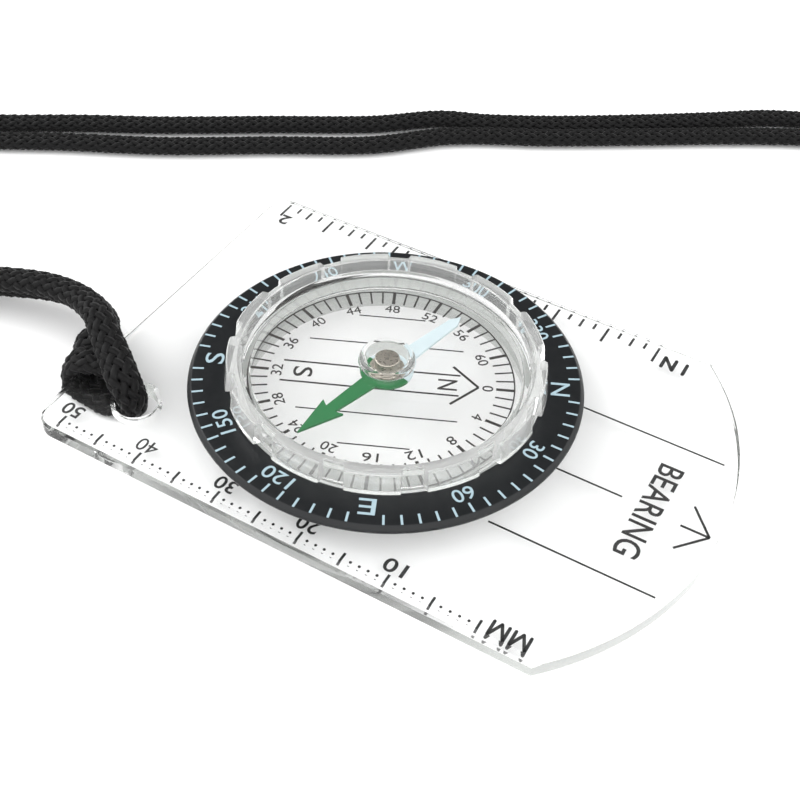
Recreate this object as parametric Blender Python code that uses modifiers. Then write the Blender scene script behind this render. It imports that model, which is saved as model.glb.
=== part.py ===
"""Baseplate compass: clear ruler plate, turning capsule with a black azimuth ring, needle and lanyard.

Metres, +Z up. +X is the direction of travel, +Y the inch edge, -Y the millimetre edge.
The origin is on the resting surface, under the middle of the plate.
Run with:  blender --background --python part.py
"""
import bmesh
import bpy
from math import asin, atan2, cos, pi, radians, sin
from mathutils import Matrix, Vector

MM = 0.001
GAP = 0.3 * MM                      # clearance between pieces that touch

# Baseplate
PLATE_LENGTH = 68.5 * MM
PLATE_WIDTH = 47.0 * MM
PLATE_THICKNESS = 2.0 * MM
STAND = 1.25 * MM                   # height of the plate's underside: it stands on the retaining ring
NOSE_RADIUS = 33.2 * MM             # curved leading end
HEEL_CORNER_RADIUS = 2.5 * MM
RULER_CHAMFER_WIDTH = 0.8 * MM
RULER_CHAMFER_DROP = 0.35 * MM
LANYARD_HOLE_INSET = 7.8 * MM       # hole centre from the two edges of its corner
LANYARD_HOLE_RADIUS = 2.3 * MM
LANYARD_HOLE_CHAMFER = 0.4 * MM
CAPSULE_X = -4.5 * MM               # turning axis of the capsule, on the plate's centre line
CAPSULE_HOLE_RADIUS = 16.9 * MM

# Azimuth ring
RING_OUTER_RADIUS = 21.4 * MM
RING_FACE_RADIUS = 20.95 * MM       # outer end of the flat, printed face
RING_FOOT_RADIUS = 20.5 * MM
RING_TOP = 5.45 * MM
RING_CHAMFER_DROP = 0.45 * MM
RING_WALL = 0.3 * MM                # height of the upright part of the ring's outer wall

# Grip bezel
GRIP_SKIRT_RADIUS = 16.55 * MM
GRIP_BORE_RADIUS = 15.75 * MM
GRIP_LEDGE_RADIUS = 14.9 * MM
GRIP_LEDGE_HEIGHT = 0.9 * MM
GRIP_TOP = 8.45 * MM
GRIP_FOOT_RADIUS = 17.4 * MM
GRIP_HEAD_RADIUS = 17.05 * MM
GRIP_BLOCKS = 13
GRIP_FIRST_BLOCK = radians(-64.5)   # bearing of the middle of one block, from +X
GRIP_BLOCK_ANGLE = radians(18.6)

# Capsule
COVER_RADIUS = 15.45 * MM
CHAMBER_RADIUS = 14.65 * MM
WINDOW_TOP = 7.35 * MM
WINDOW_THICKNESS = 1.2 * MM
BOSS_RADIUS = 3.0 * MM              # small dome over the needle's cap
BOSS_TOP = 8.4 * MM
BOSS_POCKET_RADIUS = 2.4 * MM
BOSS_POCKET_TOP = 7.9 * MM
DIAL_TOP = 4.1 * MM                 # printed floor of the capsule
DIAL_THICKNESS = 1.2 * MM
PIN_BOSS_RADIUS = 1.3 * MM
PIN_BOSS_HEIGHT = 0.4 * MM

# Retaining ring, on which the compass stands
RETAINER_OUTER_RADIUS = 18.2 * MM
RETAINER_INNER_RADIUS = 15.0 * MM
RETAINER_THICKNESS = STAND - GAP

# Needle and its bearing
PIN_RADIUS = 0.35 * MM
PIN_SOCKET_DEPTH = 0.9 * MM
PIN_TIP = 6.4 * MM
PIN_POINT_LENGTH = 0.9 * MM
NEEDLE_TOP = 5.65 * MM
NEEDLE_THICKNESS = 0.3 * MM
NEEDLE_DISC_RADIUS = 2.85 * MM
NEEDLE_EYE_RADIUS = 0.75 * MM
NEEDLE_NORTH_LENGTH = 13.1 * MM
NEEDLE_SOUTH_LENGTH = 11.9 * MM
NEEDLE_BEARING = radians(-103.7)    # where the arrow points at rest, from +X
HEAD_LENGTH = 5.1 * MM
HEAD_WIDTH = 2.95 * MM
SHAFT_ROOT_WIDTH = 1.9 * MM
SHAFT_TIP_WIDTH = 1.25 * MM
CAP_BOTTOM = NEEDLE_TOP + GAP
CAP_BRIM_RADIUS = 1.95 * MM
CAP_BRIM_THICKNESS = 0.35 * MM
CAP_CROWN_RADIUS = 1.35 * MM
CAP_TOP = 7.6 * MM
CAP_BORE_RADIUS = 1.0 * MM
CAP_BORE_TOP = 7.25 * MM
JEWEL_RADIUS = 0.7 * MM
JEWEL_BOTTOM = 6.4 * MM
JEWEL_HEIGHT = 0.55 * MM
JEWEL_RECESS_RADIUS = 0.5 * MM
JEWEL_RECESS_DEPTH = 0.35 * MM

# Lanyard: a loop of hollow braid, hitched round the strip between the hole and the heel edge
CORD_RADIUS = 1.1 * MM
CORD_POINT_SPACING = 3.6 * MM
# x, y, z in mm and share of the full thickness: over the plate, down, under it, round the heel
HITCH_ROUTE = [
    (-33.7, -11.9, 6.6, 1.0), (-31.9, -13.3, 5.6, 1.0), (-29.9, -14.9, 5.1, 1.0),
    (-28.1, -15.9, 4.8, 1.0), (-26.7, -16.2, 3.8, 0.9), (-26.2, -16.3, 2.2, 0.7),
    (-26.4, -16.4, 1.1, 0.45), (-27.3, -16.5, 0.62, 0.25), (-29.6, -16.6, 0.6, 0.25),
    (-32.0, -16.4, 0.6, 0.25), (-34.2, -16.2, 0.7, 0.3), (-35.5, -16.0, 1.5, 0.7),
    (-36.1, -15.7, 2.9, 0.95), (-36.1, -15.3, 4.3, 1.0), (-35.7, -14.9, 5.4, 0.9)]
HITCH_RADIUS = 1.45 * MM
# x, y, z in mm: from the hitch, round a wide turn and across behind the plate
STRAND_A_ROUTE = [
    (-34.4, -11.4, 7.0), (-37.4, -9.2, 6.6), (-40.2, -8.3, 6.2), (-44.6, -8.3, 5.8),
    (-50.8, -9.9, 5.1), (-58.0, -12.6, 4.0), (-66.0, -14.6, 2.7), (-75.0, -14.3, 1.6),
    (-84.5, -10.6, 1.15), (-91.2, -3.0, 1.15), (-92.6, 6.0, 1.15), (-87.6, 13.0, 1.15),
    (-77.9, 18.6, 1.15), (-68.6, 24.6, 1.15), (-59.0, 30.3, 1.15), (-46.2, 38.8, 1.15),
    (-34.0, 46.8, 1.15), (-26.6, 53.2, 1.15), (-20.6, 56.0, 1.15), (-12.8, 60.6, 1.15),
    (-3.6, 66.9, 1.15), (6.7, 74.4, 1.15), (13.0, 79.2, 1.15), (17.6, 81.7, 1.15),
    (24.6, 84.4, 1.15)]
STRAND_B_ROUTE = [
    (-34.6, -9.6, 4.6), (-36.4, -7.9, 4.35), (-38.3, -6.9, 4.1), (-41.2, -6.2, 3.9),
    (-45.5, -6.4, 3.5), (-51.7, -8.0, 2.8), (-58.4, -10.2, 1.7), (-66.2, -11.3, 1.15),
    (-74.4, -10.6, 1.15), (-82.2, -7.2, 1.15), (-87.2, -1.4, 1.15), (-87.9, 4.9, 1.15),
    (-84.3, 9.9, 1.15), (-74.9, 15.4, 1.15), (-67.9, 19.6, 1.15), (-55.5, 26.4, 1.15),
    (-43.3, 34.5, 1.15), (-31.4, 42.3, 1.15), (-24.2, 49.4, 1.15), (-19.6, 52.6, 1.15),
    (-12.3, 56.8, 1.15), (-2.2, 63.5, 1.15), (8.1, 70.5, 1.15), (14.5, 74.6, 1.15),
    (19.2, 77.3, 1.15), (25.6, 80.2, 1.15)]
COIL_CENTRE = Vector((46.5, 87.0, 0.0)) * MM
COIL_RADIUS = 18.0 * MM             # middle of its turns
COIL_WIDTH = 6.4 * MM
COIL_HEIGHT = 4.4 * MM
KNOT_CENTRE = Vector((56.3, 87.0, 2.6)) * MM
KNOT_RADII = Vector((4.6, 2.9, 2.5)) * MM

SEGMENTS = 96                       # steps of the large turned pieces
SMALL_SEGMENTS = 32


def clear_scene():
    for item in list(bpy.data.objects):
        bpy.data.objects.remove(item, do_unlink=True)


def new_collection(name):
    collection = bpy.data.collections.new(name)
    bpy.context.scene.collection.children.link(collection)
    return collection


def make_material(name, colour, roughness, metallic=0.0, alpha=1.0):
    material = bpy.data.materials.new(name)
    material.use_nodes = True
    shader = material.node_tree.nodes["Principled BSDF"]
    shader.inputs["Base Color"].default_value = (*colour, 1.0)
    shader.inputs["Roughness"].default_value = roughness
    shader.inputs["Metallic"].default_value = metallic
    shader.inputs["Alpha"].default_value = alpha
    return material


def add_object(name, data, material):
    item = bpy.data.objects.new(name, data)
    PARTS.objects.link(item)
    if material:
        data.materials.append(material)
    return item


def cut(target, cutter):
    """Cut a piece away from the target and move it to the cutters' collection."""
    modifier = target.modifiers.new(cutter.name, "BOOLEAN")
    modifier.operation = "DIFFERENCE"
    modifier.solver = "EXACT"
    modifier.object = cutter
    PARTS.objects.unlink(cutter)
    CUTTERS.objects.link(cutter)
    cutter.hide_render = True
    cutter.display_type = "WIRE"


def mesh_from_curve(item):
    """Replace a curve object with its evaluated mesh, its caps welded on."""
    bpy.context.view_layer.update()
    evaluated = item.evaluated_get(bpy.context.evaluated_depsgraph_get())
    mesh = bpy.data.meshes.new_from_object(evaluated)
    work = bmesh.new()
    work.from_mesh(mesh)
    bmesh.ops.remove_doubles(work, verts=work.verts, dist=1e-6)
    work.to_mesh(mesh)
    work.free()
    name, matrix = item.name, item.matrix_world.copy()
    bpy.data.objects.remove(item, do_unlink=True)
    result = bpy.data.objects.new(name, mesh)
    result.matrix_world = matrix
    PARTS.objects.link(result)
    return result


def shade(item):
    item.data.shade_smooth()
    item.data.set_sharp_from_angle(angle=radians(35))


def turned(name, profile, material, centre=(0.0, 0.0), steps=SEGMENTS, closed=True):
    """Turn a profile of (radius, height) points about a vertical axis.

    The profile runs down its outer side first. An open profile starts and ends on the axis.
    """
    mesh = bpy.data.meshes.new(name)
    points = [(radius, 0.0, height) for radius, height in profile]
    edges = [(i, i + 1) for i in range(len(points) - 1)]
    if closed:
        edges.append((len(points) - 1, 0))
    mesh.from_pydata(points, edges, [])
    item = add_object(name, mesh, material)
    item.location = (centre[0], centre[1], 0.0)
    screw = item.modifiers.new("Turn", "SCREW")
    screw.axis = "Z"
    screw.steps = steps
    screw.render_steps = steps
    screw.use_merge_vertices = True
    screw.merge_threshold = 1e-6
    screw.use_smooth_shade = False
    return item


def box(name, size, matrix):
    """A plain box, its scale applied."""
    mesh = bpy.data.meshes.new(name)
    work = bmesh.new()
    bmesh.ops.create_cube(work, size=1.0)
    bmesh.ops.scale(work, vec=Vector(size), verts=work.verts)
    bmesh.ops.transform(work, matrix=matrix, verts=work.verts)
    work.to_mesh(mesh)
    work.free()
    return add_object(name, mesh, None)


def cylinder(name, radius, low, high, centre=(0.0, 0.0), segments=SEGMENTS):
    mesh = bpy.data.meshes.new(name)
    work = bmesh.new()
    bmesh.ops.create_cone(work, cap_ends=True, segments=segments, radius1=radius, radius2=radius,
                          depth=high - low)
    bmesh.ops.translate(work, vec=(centre[0], centre[1], (high + low) / 2), verts=work.verts)
    work.to_mesh(mesh)
    work.free()
    return add_object(name, mesh, None)


def arc(centre, radius, start, end, steps):
    return [(centre[0] + radius * cos(start + (end - start) * i / steps),
             centre[1] + radius * sin(start + (end - start) * i / steps)) for i in range(steps + 1)]


def flat_plate(name, outline, low, high, material):
    """A flat 2D outline, filled and given its thickness."""
    curve = bpy.data.curves.new(name, "CURVE")
    curve.dimensions = "2D"
    curve.fill_mode = "BOTH"
    curve.extrude = (high - low) / 2
    spline = curve.splines.new("POLY")
    spline.points.add(len(outline) - 1)
    for point, (x, y) in zip(spline.points, outline):
        point.co = (x, y, 0.0, 1.0)
    spline.use_cyclic_u = True
    item = bpy.data.objects.new(name, curve)
    item.location = (0.0, 0.0, (high + low) / 2)
    PARTS.objects.link(item)
    result = mesh_from_curve(item)
    result.data.materials.append(material)
    return result


def smooth_route(points, spacing):
    """Evenly spaced points along a smooth curve through the given ones (centripetal Catmull-Rom)."""
    knots = [Vector(p) for p in points]
    knots = [knots[0] * 2 - knots[1]] + knots + [knots[-1] * 2 - knots[-2]]
    dense = []
    for i in range(1, len(knots) - 2):
        p0, p1, p2, p3 = knots[i - 1:i + 3]
        t0 = 0.0
        t1 = t0 + (p1 - p0).length ** 0.5
        t2 = t1 + (p2 - p1).length ** 0.5
        t3 = t2 + (p3 - p2).length ** 0.5
        for k in range(24):
            t = t1 + (t2 - t1) * k / 24
            a1 = p0 * ((t1 - t) / (t1 - t0)) + p1 * ((t - t0) / (t1 - t0))
            a2 = p1 * ((t2 - t) / (t2 - t1)) + p2 * ((t - t1) / (t2 - t1))
            a3 = p2 * ((t3 - t) / (t3 - t2)) + p3 * ((t - t2) / (t3 - t2))
            b1 = a1 * ((t2 - t) / (t2 - t0)) + a2 * ((t - t0) / (t2 - t0))
            b2 = a2 * ((t3 - t) / (t3 - t1)) + a3 * ((t - t1) / (t3 - t1))
            dense.append(b1 * ((t2 - t) / (t2 - t1)) + b2 * ((t - t1) / (t2 - t1)))
    dense.append(knots[-2])
    lengths = [0.0]
    for a, b in zip(dense, dense[1:]):
        lengths.append(lengths[-1] + (b - a).length)
    count = max(2, round(lengths[-1] / spacing))
    result, j = [], 0
    for i in range(count + 1):
        want = lengths[-1] * i / count
        while j < len(lengths) - 2 and lengths[j + 1] < want:
            j += 1
        span = lengths[j + 1] - lengths[j]
        result.append(dense[j].lerp(dense[j + 1], (want - lengths[j]) / span if span else 0.0))
    return result


def tube(name, points, radius, material, scales=None):
    """A round cord through the points, with closed ends."""
    curve = bpy.data.curves.new(name, "CURVE")
    curve.dimensions = "3D"
    curve.bevel_depth = radius
    curve.bevel_resolution = 2
    curve.use_fill_caps = True
    spline = curve.splines.new("POLY")
    spline.points.add(len(points) - 1)
    for i, (target, place) in enumerate(zip(spline.points, points)):
        target.co = (*place, 1.0)
        target.radius = scales[i] if scales else 1.0
    return add_object(name, curve, material)


def lanyard_hole_centre():
    return (-PLATE_LENGTH / 2 + LANYARD_HOLE_INSET, -PLATE_WIDTH / 2 + LANYARD_HOLE_INSET)


def plate_outline():
    """Heel corners rounded, nose a wide arc that meets the long edges in corners."""
    half_length, half_width = PLATE_LENGTH / 2, PLATE_WIDTH / 2
    nose_centre = (half_length - NOSE_RADIUS, 0.0)
    nose_angle = asin(half_width / NOSE_RADIUS)
    corner = HEEL_CORNER_RADIUS
    points = arc(nose_centre, NOSE_RADIUS, -nose_angle, nose_angle, 40)
    points += arc((-half_length + corner, half_width - corner), corner, pi / 2, pi, 8)
    points += arc((-half_length + corner, -half_width + corner), corner, pi, 3 * pi / 2, 8)
    return points


def make_baseplate(material):
    low, high = STAND, STAND + PLATE_THICKNESS
    plate = flat_plate("baseplate", plate_outline(), low, high, material)
    cut(plate, cylinder("capsule_hole", CAPSULE_HOLE_RADIUS, low - MM, high + MM, (CAPSULE_X, 0.0)))
    hole = lanyard_hole_centre()
    flare = LANYARD_HOLE_RADIUS + LANYARD_HOLE_CHAMFER
    profile = [(0.0, high + MM), (flare + MM, high + MM),
               (LANYARD_HOLE_RADIUS, high - LANYARD_HOLE_CHAMFER),
               (LANYARD_HOLE_RADIUS, low + LANYARD_HOLE_CHAMFER),
               (flare + MM, low - MM), (0.0, low - MM)]
    cut(plate, turned("lanyard_hole", profile, None, hole, 40, closed=False))
    tilt = atan2(RULER_CHAMFER_DROP, RULER_CHAMFER_WIDTH)
    depth = 2 * MM
    for name, side in (("front", -1.0), ("back", 1.0)):
        middle = Vector((0.0, side * (PLATE_WIDTH - RULER_CHAMFER_WIDTH) / 2,
                         high - RULER_CHAMFER_DROP / 2))
        place = (Matrix.Translation(middle) @ Matrix.Rotation(-side * tilt, 4, "X")
                 @ Matrix.Translation((0.0, 0.0, depth / 2)))
        cut(plate, box(f"ruler_chamfer_{name}", (2 * PLATE_LENGTH, 4 * MM, depth), place))
    return plate


def make_azimuth_ring(material):
    inner = CAPSULE_HOLE_RADIUS
    bottom = STAND + PLATE_THICKNESS + GAP
    shoulder = RING_TOP - RING_CHAMFER_DROP
    profile = [(RING_FACE_RADIUS, RING_TOP), (RING_OUTER_RADIUS, shoulder),
               (RING_OUTER_RADIUS, shoulder - RING_WALL), (RING_FOOT_RADIUS, bottom), (inner, bottom),
               (inner, RING_TOP)]
    return turned("azimuth_ring", profile, material, (CAPSULE_X, 0.0))


def make_grip_bezel(material):
    """Skirt through the plate's hole, a ledge for the capsule, and a castellated rim above the ring."""
    low = STAND
    seat = RING_TOP + GAP
    ledge = low + GRIP_LEDGE_HEIGHT
    profile = [(GRIP_HEAD_RADIUS, GRIP_TOP), (GRIP_FOOT_RADIUS, seat), (GRIP_SKIRT_RADIUS, seat),
               (GRIP_SKIRT_RADIUS, low), (GRIP_LEDGE_RADIUS, low), (GRIP_LEDGE_RADIUS, ledge),
               (GRIP_BORE_RADIUS, ledge), (GRIP_BORE_RADIUS, GRIP_TOP)]
    bezel = turned("grip_bezel", profile, material, (CAPSULE_X, 0.0), GRIP_BLOCKS * 8)
    pitch = 2 * pi / GRIP_BLOCKS
    notch_width = 2 * GRIP_FOOT_RADIUS * sin((pitch - GRIP_BLOCK_ANGLE) / 2)
    depth = 3 * MM
    height = GRIP_TOP - seat + 2 * MM
    notches = bpy.data.meshes.new("grip_notches")
    work = bmesh.new()
    for i in range(GRIP_BLOCKS):
        turn = Matrix.Rotation(GRIP_FIRST_BLOCK + pitch * (i + 0.5), 4, "Z")
        part = bmesh.ops.create_cube(work, size=1.0)["verts"]
        bmesh.ops.scale(work, vec=(depth, notch_width, height), verts=part)
        shift = Matrix.Translation((GRIP_SKIRT_RADIUS - 0.15 * MM + depth / 2, 0.0, seat + height / 2))
        place = Matrix.Translation((CAPSULE_X, 0.0, 0.0)) @ turn @ shift
        bmesh.ops.transform(work, matrix=place, verts=part)
    work.to_mesh(notches)
    work.free()
    cut(bezel, add_object("grip_notches", notches, None))
    return bezel


def make_capsule_cover(material):
    window_bottom = WINDOW_TOP - WINDOW_THICKNESS
    wall_bottom = DIAL_TOP + GAP
    profile = [(0.0, BOSS_TOP), (BOSS_RADIUS - 0.3 * MM, BOSS_TOP), (BOSS_RADIUS, BOSS_TOP - 0.3 * MM),
               (BOSS_RADIUS, WINDOW_TOP), (COVER_RADIUS, WINDOW_TOP), (COVER_RADIUS, wall_bottom),
               (CHAMBER_RADIUS, wall_bottom), (CHAMBER_RADIUS, window_bottom),
               (BOSS_POCKET_RADIUS, window_bottom), (BOSS_POCKET_RADIUS, BOSS_POCKET_TOP),
               (0.0, BOSS_POCKET_TOP)]
    return turned("capsule_cover", profile, material, (CAPSULE_X, 0.0), closed=False)


def make_capsule_base(material):
    low = DIAL_TOP - DIAL_THICKNESS
    boss_top = DIAL_TOP + PIN_BOSS_HEIGHT
    socket = PIN_RADIUS + GAP
    profile = [(socket, boss_top), (PIN_BOSS_RADIUS, boss_top), (PIN_BOSS_RADIUS, DIAL_TOP),
               (COVER_RADIUS, DIAL_TOP), (COVER_RADIUS, low), (0.0, low)]
    profile = [(0.0, boss_top - PIN_SOCKET_DEPTH), (socket, boss_top - PIN_SOCKET_DEPTH)] + profile
    return turned("capsule_base", profile, material, (CAPSULE_X, 0.0), closed=False)


def make_pivot_pin(material):
    low = DIAL_TOP + PIN_BOSS_HEIGHT - PIN_SOCKET_DEPTH + GAP
    profile = [(0.0, PIN_TIP), (0.06 * MM, PIN_TIP - 0.05 * MM), (PIN_RADIUS, PIN_TIP - PIN_POINT_LENGTH),
               (PIN_RADIUS, low), (0.0, low)]
    return turned("pivot_pin", profile, material, (CAPSULE_X, 0.0), SMALL_SEGMENTS, closed=False)


def make_retaining_ring(material):
    profile = [(RETAINER_OUTER_RADIUS, RETAINER_THICKNESS), (RETAINER_OUTER_RADIUS, 0.0),
               (RETAINER_INNER_RADIUS, 0.0), (RETAINER_INNER_RADIUS, RETAINER_THICKNESS)]
    return turned("retaining_ring", profile, material, (CAPSULE_X, 0.0))


def needle_outline():
    """Arrow along +X, with a disc at the middle and a plain tapered tail."""
    root = SHAFT_ROOT_WIDTH / 2
    tip = SHAFT_TIP_WIDTH / 2
    meet = asin(root / NEEDLE_DISC_RADIUS)
    barb = NEEDLE_NORTH_LENGTH - HEAD_LENGTH
    points = [(NEEDLE_NORTH_LENGTH, 0.0), (barb, HEAD_WIDTH / 2), (barb + 0.4 * MM, tip)]
    points += arc((0.0, 0.0), NEEDLE_DISC_RADIUS, meet, pi - meet, 14)
    points += [(-NEEDLE_SOUTH_LENGTH + 1.2 * MM, tip), (-NEEDLE_SOUTH_LENGTH, 0.0),
               (-NEEDLE_SOUTH_LENGTH + 1.2 * MM, -tip)]
    points += arc((0.0, 0.0), NEEDLE_DISC_RADIUS, pi + meet, 2 * pi - meet, 14)
    points += [(barb + 0.4 * MM, -tip), (barb, -HEAD_WIDTH / 2)]
    return points


def make_needle(material):
    needle = flat_plate("needle", needle_outline(), NEEDLE_TOP - NEEDLE_THICKNESS, NEEDLE_TOP, material)
    eye = cylinder("needle_eye", NEEDLE_EYE_RADIUS, NEEDLE_TOP - MM, NEEDLE_TOP + MM,
                   segments=SMALL_SEGMENTS)
    place = Matrix.Translation((CAPSULE_X, 0.0, 0.0)) @ Matrix.Rotation(NEEDLE_BEARING, 4, "Z")
    for item in (needle, eye):
        item.matrix_world = place @ item.matrix_world
    cut(needle, eye)
    return needle


def make_needle_cap(material):
    """Brass top hat pressed on the needle, hollow for the jewel."""
    brim_top = CAP_BOTTOM + CAP_BRIM_THICKNESS
    profile = [(0.0, CAP_TOP), (CAP_CROWN_RADIUS - 0.15 * MM, CAP_TOP),
               (CAP_CROWN_RADIUS, CAP_TOP - 0.15 * MM), (CAP_CROWN_RADIUS, brim_top),
               (CAP_BRIM_RADIUS, brim_top), (CAP_BRIM_RADIUS, CAP_BOTTOM), (CAP_BORE_RADIUS, CAP_BOTTOM),
               (CAP_BORE_RADIUS, CAP_BORE_TOP), (0.0, CAP_BORE_TOP)]
    return turned("needle_cap", profile, material, (CAPSULE_X, 0.0), SMALL_SEGMENTS, closed=False)


def make_jewel_cup(material):
    top = JEWEL_BOTTOM + JEWEL_HEIGHT
    profile = [(0.0, top), (JEWEL_RADIUS, top), (JEWEL_RADIUS, JEWEL_BOTTOM),
               (JEWEL_RECESS_RADIUS, JEWEL_BOTTOM), (0.0, JEWEL_BOTTOM + JEWEL_RECESS_DEPTH)]
    return turned("jewel_cup", profile, material, (CAPSULE_X, 0.0), SMALL_SEGMENTS, closed=False)


def make_hitch(material):
    places = smooth_route([Vector(p[:3]) * MM for p in HITCH_ROUTE], 0.9 * MM)
    knots = [Vector(p[:3]) * MM for p in HITCH_ROUTE]
    scales = []
    for place in places:
        order = sorted(range(len(knots)), key=lambda i: (knots[i] - place).length)[:2]
        near, far = [(knots[i] - place).length for i in order]
        share = near / (near + far)
        scales.append(HITCH_ROUTE[order[0]][3] * (1 - share) + HITCH_ROUTE[order[1]][3] * share)
    return tube("lanyard_hitch", places, HITCH_RADIUS, material, scales)


def make_strand(name, route, material):
    places = smooth_route([Vector(point) * MM for point in route], CORD_POINT_SPACING)
    return tube(name, places, CORD_RADIUS, material)


def make_coil(material):
    """The rest of the lanyard, coiled flat, as one thick ring."""
    outer = COIL_RADIUS + COIL_WIDTH / 2
    inner = COIL_RADIUS - COIL_WIDTH / 2
    low = 0.05 * MM
    profile = [(outer - MM, COIL_HEIGHT), (outer, COIL_HEIGHT - MM), (outer, low + MM), (outer - MM, low),
               (inner + MM, low), (inner, low + MM), (inner, COIL_HEIGHT - MM), (inner + MM, COIL_HEIGHT)]
    return turned("lanyard_coil", profile, material, COIL_CENTRE[:2], 40)


def make_knot(material):
    mesh = bpy.data.meshes.new("lanyard_end_knot")
    work = bmesh.new()
    bmesh.ops.create_icosphere(work, subdivisions=2, radius=1.0)
    bmesh.ops.scale(work, vec=KNOT_RADII, verts=work.verts)
    bmesh.ops.translate(work, vec=KNOT_CENTRE, verts=work.verts)
    work.to_mesh(mesh)
    work.free()
    return add_object("lanyard_end_knot", mesh, material)


clear_scene()
PARTS = new_collection("baseplate_compass")
CUTTERS = new_collection("cutters")

clear_plastic = make_material("clear_plastic", (0.95, 0.97, 0.96), 0.06, alpha=0.35)
black_plastic = make_material("black_plastic", (0.03, 0.032, 0.034), 0.42)
green_paint = make_material("needle_paint", (0.02, 0.26, 0.08), 0.35)
brass = make_material("cap_metal", (0.62, 0.56, 0.45), 0.3, metallic=1.0)
steel = make_material("pin_steel", (0.6, 0.6, 0.6), 0.25, metallic=1.0)
jewel = make_material("jewel", (0.5, 0.05, 0.1), 0.1)
cord = make_material("lanyard_braid", (0.012, 0.012, 0.012), 0.85)

make_baseplate(clear_plastic)
make_needle(green_paint)
make_hitch(cord)
make_strand("lanyard_strand_a", STRAND_A_ROUTE, cord)
make_strand("lanyard_strand_b", STRAND_B_ROUTE, cord)
round_pieces = [make_azimuth_ring(black_plastic), make_grip_bezel(clear_plastic),
                make_capsule_cover(clear_plastic), make_capsule_base(clear_plastic),
                make_pivot_pin(steel), make_retaining_ring(clear_plastic), make_needle_cap(brass),
                make_jewel_cup(jewel), make_coil(cord), make_knot(cord)]
for piece in round_pieces:
    shade(piece)
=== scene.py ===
"""Baseplate compass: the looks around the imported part, with the camera, the table and the light.

Lengths below are in millimetres unless a name says otherwise, and Blender's own units are metres.
The plate's print lies on its underside, so it is seen through the clear plastic.
"""

from math import asin, ceil, cos, pi, radians, sin

import bmesh
import bpy
import numpy as np
from mathutils import Matrix, Vector


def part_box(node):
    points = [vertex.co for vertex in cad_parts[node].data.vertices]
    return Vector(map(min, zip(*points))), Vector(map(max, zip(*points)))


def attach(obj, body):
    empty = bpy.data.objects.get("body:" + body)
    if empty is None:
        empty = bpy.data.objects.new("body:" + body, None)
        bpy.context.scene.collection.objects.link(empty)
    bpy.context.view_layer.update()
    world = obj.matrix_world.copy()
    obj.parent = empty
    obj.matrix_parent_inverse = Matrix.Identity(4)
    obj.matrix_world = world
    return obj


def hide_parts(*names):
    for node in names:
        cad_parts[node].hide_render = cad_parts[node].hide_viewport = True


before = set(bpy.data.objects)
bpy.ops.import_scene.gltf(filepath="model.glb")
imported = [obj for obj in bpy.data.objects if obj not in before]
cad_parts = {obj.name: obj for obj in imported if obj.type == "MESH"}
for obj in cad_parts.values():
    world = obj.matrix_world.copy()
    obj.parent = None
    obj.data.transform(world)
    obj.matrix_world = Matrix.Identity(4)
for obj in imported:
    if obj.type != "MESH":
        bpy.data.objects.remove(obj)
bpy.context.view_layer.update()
MM = 0.001
FULL_TURN = 2 * pi


def corners(node):
    """Lowest and highest corner of a CAD node, mm."""
    low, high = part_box(node)
    return Vector(low) / MM, Vector(high) / MM


# Camera: found by a least-squares fit to the ruler marks and the ring's marks in the photo
CAMERA_PLACE = (41.992, -84.198, 98.566)
CAMERA_RIGHT = (0.86591, 0.49903, 0.03435)
CAMERA_FORWARD = (-0.33013, 0.62172, -0.71027)
CAMERA_LENS = 55.742                # on a 36 mm sensor

# Places taken from the part
PLATE_LOW, PLATE_HIGH = corners("baseplate")
RING_LOW, RING_HIGH = corners("azimuth_ring")
GRIP_LOW, GRIP_HIGH = corners("grip_bezel")
COVER_LOW, COVER_HIGH = corners("capsule_cover")
DIAL_LOW, DIAL_HIGH = corners("capsule_base")
RETAINER_LOW, RETAINER_HIGH = corners("retaining_ring")
CAP_LOW, CAP_HIGH = corners("needle_cap")
AXIS = Vector(((RING_LOW.x + RING_HIGH.x) / 2, 0.0, 0.0))

# Baseplate
NOSE_RADIUS = 33.2
HEEL_CORNER_RADIUS = 2.5
RULER_CHAMFER_WIDTH = 0.8
RULER_CHAMFER_DROP = 0.35
EDGE = 0.2                          # small broken edge on every rim of the plate
LANYARD_HOLE = (PLATE_LOW.x + 7.8, PLATE_LOW.y + 7.8)
LANYARD_HOLE_RADIUS = 2.3
LANYARD_HOLE_CHAMFER = 0.4
CAPSULE_HOLE_RADIUS = 16.9

# Print
INK = 0.03                          # thickness of the ink
INK_GAP = 0.01
NORTH = radians(24.5)               # where N stands on the azimuth ring and the dial, from +X
SCALE_ZERO_MM = 18.11               # x of the zero of the millimetre scale
SCALE_ZERO_INCH = 18.5
INCH = 25.4
TURNED_ROUND = pi                   # both scales are read from the other side
SCALE_TICK = 0.28                   # width of a long mark
MILLIMETRE_MARKS = (-20.75, -22.0)  # y of the ends of a long mark
MILLIMETRE_DOTS = -21.45
MILLIMETRE_NUMBERS = -19.7
INCH_MARKS_OUTER = 23.3             # y of the outer end of every inch mark
INCH_MARKS_INNER = (20.75, 21.8, 22.25)     # y of the inner end: quarters, eighths, sixteenths
LETTER_HALF = 0.85                  # half height of the drawn letters

# Ring and dial
RING_FACE_RADIUS = 20.95
RING_FOOT_RADIUS = 20.5
RING_CHAMFER_DROP = 0.45
DIAL_CIRCLE_RADIUS = 14.35
DIAL_PRINT_CENTRE = AXIS + Vector((-0.42, -0.24, 0.0))      # the printed circle is a little off the axis
DIAL_DIVISIONS = 64
PIN_BOSS_RADIUS = 1.3
PIN_BOSS_HEIGHT = 0.4
PIN_SOCKET_RADIUS = 0.65
PIN_SOCKET_DEPTH = 0.9

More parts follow.
